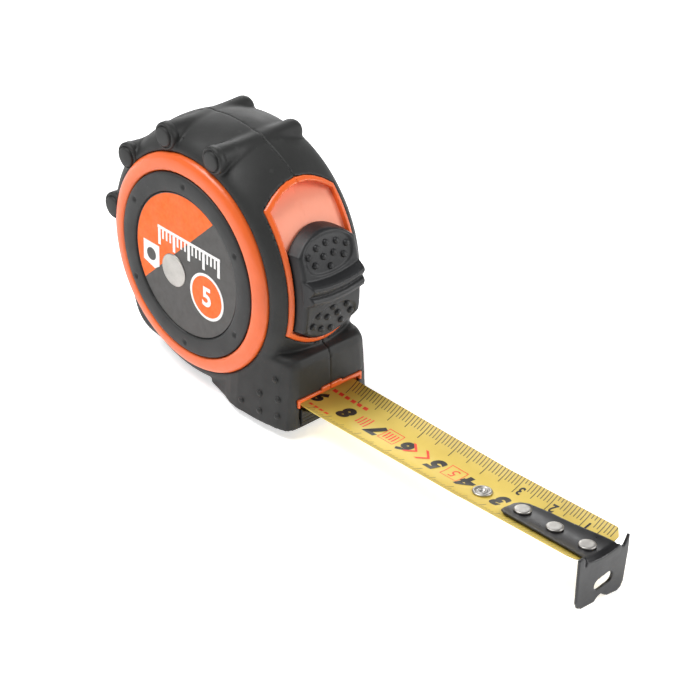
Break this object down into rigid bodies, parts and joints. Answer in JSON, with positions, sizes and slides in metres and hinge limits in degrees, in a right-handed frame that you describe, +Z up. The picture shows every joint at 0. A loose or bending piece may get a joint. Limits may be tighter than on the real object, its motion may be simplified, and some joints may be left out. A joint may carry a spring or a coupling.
{
  "type": "tape measure",
  "caption": "Pocket tape measure with a round rubber-jacketed case, sliding thumb lock, spring-wound reel, belt clip and a concave yellow blade ending in a floating hook.",
  "frame": {"origin": "on the flat base of the case, straight under the reel axis", "axes": "+X along the blade towards the hook, +Y across the blade towards the belt clip, +Z up from the base"},
  "size_m": [0.1567, 0.0387, 0.0734],
  "materials": {
    "rubber": "matte",
    "orange": "satin",
    "dark_plastic": "satin",
    "label": "satin",
    "lock": "satin",
    "reel_plastic": "matte",
    "spring_steel": "oiled",
    "blade_enamel": "satin",
    "hook_enamel": "gloss",
    "nickel": "satin",
    "steel": "satin"
  },
  "bodies": {
    "case": {"jacket_near": "rubber", "jacket_far": "rubber", "shell_near": "orange", "shell_far": "orange", "side_cap_near": "dark_plastic", "side_cap_far": "dark_plastic", "label_disc_near": "label", "label_disc_far": "label", "mouth_pad": "rubber", "centre_post": "steel", "mainspring": "spring_steel", "case_screw_1": "nickel", "case_screw_2": "nickel", "case_screw_3": "nickel", "case_screw_4": "nickel", "belt_clip": "steel", "clip_screw": "nickel"},
    "blade": {"blade": "blade_enamel", "blade_eyelet": "nickel", "hook_rivet_1": "nickel", "hook_rivet_2": "nickel", "hook_rivet_3": "nickel"},
    "hook": {"end_hook": "hook_enamel"},
    "reel": {"reel_drum": "reel_plastic", "reel_cover": "reel_plastic", "blade_coil": "blade_enamel"},
    "thumb_lock": {"thumb_lock_slider": "lock", "lock_brake_arm": "lock"}
  },
  "joints": [
    {"name": "blade_slide", "type": "slide", "parent": "case", "child": "blade", "axis": [1, 0, 0], "range_m": [-0.032, 0.008]},
    {"name": "reel_spin", "type": "hinge", "parent": "case", "child": "reel", "pos_m": [0, 0, 0.0325], "axis": [0, 1, 0], "range_deg": [-22, 86]},
    {"name": "hook_float", "type": "slide", "parent": "blade", "child": "hook", "axis": [1, 0, 0], "range_m": [-0.0005, 0.0005]},
    {"name": "lock_slide", "type": "hinge", "parent": "case", "child": "thumb_lock", "pos_m": [0, 0, 0.0325], "axis": [0, -1, 0], "range_deg": [0, 13]}
  ],
  "couplings": [
    {"joint": "reel_spin", "follows": "blade_slide", "rad_per_m": -46.296}
  ]
}
